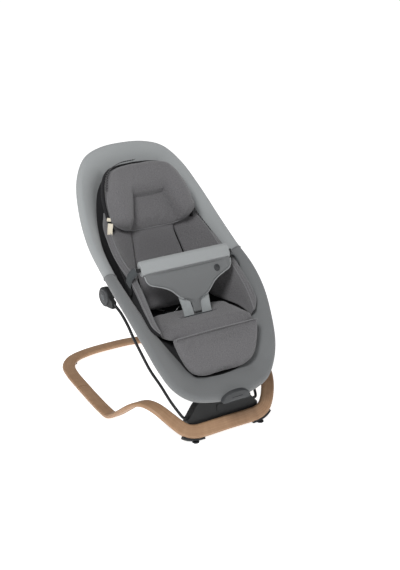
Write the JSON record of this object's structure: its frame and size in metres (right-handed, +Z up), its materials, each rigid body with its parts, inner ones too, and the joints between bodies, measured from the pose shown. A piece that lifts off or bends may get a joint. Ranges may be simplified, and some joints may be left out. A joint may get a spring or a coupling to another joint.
{
  "type": "bouncer seat",
  "caption": "Baby bouncer: oval fabric seat with padded inlay and T-shaped harness, on spring-wire arms that fold on a bent flat-oval floor base.",
  "frame": {"origin": "on the floor, under the middle of the whole seat's box", "axes": "+X to the child's left, +Y towards the head end, +Z up; the seat is mirror-symmetric across X = 0"},
  "size_m": [0.4648, 0.6702, 0.6466],
  "materials": {
    "base_wood_look": "beech-look printed film on bent flat-oval tube, satin, fine long grain",
    "zinc_steel": "zinc-plated steel, fine brushed",
    "foot_rubber": "matt black grip rubber",
    "charcoal_plastic": "charcoal moulded plastic, fine spark texture",
    "button_plastic": "charcoal moulded plastic, slightly smoother than the casings",
    "black_wire": "black powder-coated spring-steel wire, semi-gloss",
    "seat_tube_steel": "powder-coated round steel tube, hidden in the sleeve",
    "light_grey_fabric": "light grey plain-weave polyester, padded and smooth",
    "dark_grey_fabric": "mid-to-dark grey plain-weave polyester, padded and smooth",
    "inlay_fabric": "dark grey brushed melange knit, quilted, with thin light piping",
    "harness_fabric": "mid grey padded woven fabric with thin light piping",
    "webbing": "grey-green narrow polyester webbing"
  },
  "bodies": {
    "base": {"base_front_tube": "base_wood_look", "base_rear_tube": "base_wood_look", "base_spigot_left": "zinc_steel", "base_spigot_right": "zinc_steel", "front_foot_shoe_left": "foot_rubber", "front_foot_shoe_right": "foot_rubber", "front_foot_pad_left": "foot_rubber", "front_foot_pad_right": "foot_rubber", "rear_foot_left": "foot_rubber", "rear_foot_right": "foot_rubber", "hinge_bracket_left": "charcoal_plastic", "hinge_bracket_right": "charcoal_plastic", "hinge_rod": "zinc_steel", "latch_strike": "zinc_steel"},
    "housing": {"housing_front": "charcoal_plastic", "housing_rear": "charcoal_plastic", "latch_spring": "zinc_steel"},
    "fold_button": {"fold_button": "button_plastic"},
    "latch_bolt": {"latch_bolt": "zinc_steel"},
    "support": {"support_wire": "black_wire", "hub_housing_left": "charcoal_plastic", "hub_housing_right": "charcoal_plastic", "hub_axle_left": "zinc_steel", "hub_axle_right": "zinc_steel", "hub_spring_left": "zinc_steel", "hub_spring_right": "zinc_steel"},
    "hub_button_left": {"hub_button_left": "button_plastic", "lock_pin_left": "zinc_steel"},
    "hub_button_right": {"hub_button_right": "button_plastic", "lock_pin_right": "zinc_steel"},
    "seat": {"rim_bracket_left": "charcoal_plastic", "rim_bracket_right": "charcoal_plastic", "detent_plate_left": "zinc_steel", "detent_plate_right": "zinc_steel", "seat_tube_upper": "seat_tube_steel", "seat_tube_lower": "seat_tube_steel", "rim_sleeve_upper": "light_grey_fabric", "rim_sleeve_lower": "dark_grey_fabric", "sling_upper": "light_grey_fabric", "sling_lower": "dark_grey_fabric", "back_pad": "inlay_fabric", "side_wing_left": "inlay_fabric", "side_wing_right": "inlay_fabric", "seat_pad": "inlay_fabric", "leg_pad": "inlay_fabric", "head_pillow": "inlay_fabric", "side_strap_left": "webbing", "side_strap_right": "webbing", "strap_clip_left": "charcoal_plastic", "strap_clip_right": "charcoal_plastic", "crotch_anchor": "webbing", "front_badge": "charcoal_plastic"},
    "harness": {"harness_pad": "harness_fabric", "harness_roll": "light_grey_fabric", "crotch_strap_left": "light_grey_fabric", "crotch_strap_right": "light_grey_fabric", "harness_button": "button_plastic", "harness_hook_left": "charcoal_plastic", "harness_hook_right": "charcoal_plastic"}
  },
  "joints": [
    {"name": "fold_hinge", "type": "hinge", "parent": "base", "child": "housing", "pos_m": [0, -0.2601, 0.023], "axis": [-1, 0, 0], "range_deg": [0, 32]},
    {"name": "fold_button_press", "type": "slide", "parent": "housing", "child": "fold_button", "axis": [0, 0.9848, -0.1736], "range_m": [0, 0.0025], "stiffness_N_per_m": 1500, "springref_m": -0.002},
    {"name": "latch_lift", "type": "slide", "parent": "housing", "child": "latch_bolt", "axis": [0, 0.1736, 0.9848], "range_m": [0, 0.0026]},
    {"name": "bounce_flex", "type": "hinge", "parent": "housing", "child": "support", "pos_m": [0, -0.2601, 0.054], "axis": [-1, 0, 0], "range_deg": [-4, 5], "stiffness_Nm_per_rad": 180, "springref_deg": -1.61},
    {"name": "hub_button_left_press", "type": "slide", "parent": "support", "child": "hub_button_left", "axis": [-1, 0, 0], "range_m": [0, 0.004], "stiffness_N_per_m": 2000, "springref_m": -0.002},
    {"name": "hub_button_right_press", "type": "slide", "parent": "support", "child": "hub_button_right", "axis": [1, 0, 0], "range_m": [0, 0.004], "stiffness_N_per_m": 2000, "springref_m": -0.002},
    {"name": "recline_hinge", "type": "hinge", "parent": "support", "child": "seat", "pos_m": [0, -0.0501, 0.3345], "axis": [-1, 0, 0], "range_deg": [0, 20]},
    {"name": "harness_swing", "type": "hinge", "parent": "seat", "child": "harness", "pos_m": [0, -0.1571, 0.281], "axis": [1, 0, 0], "range_deg": [0, 95]}
  ],
  "couplings": [
    {"joint": "latch_lift", "follows": "fold_button_press", "ratio": 1}
  ]
}
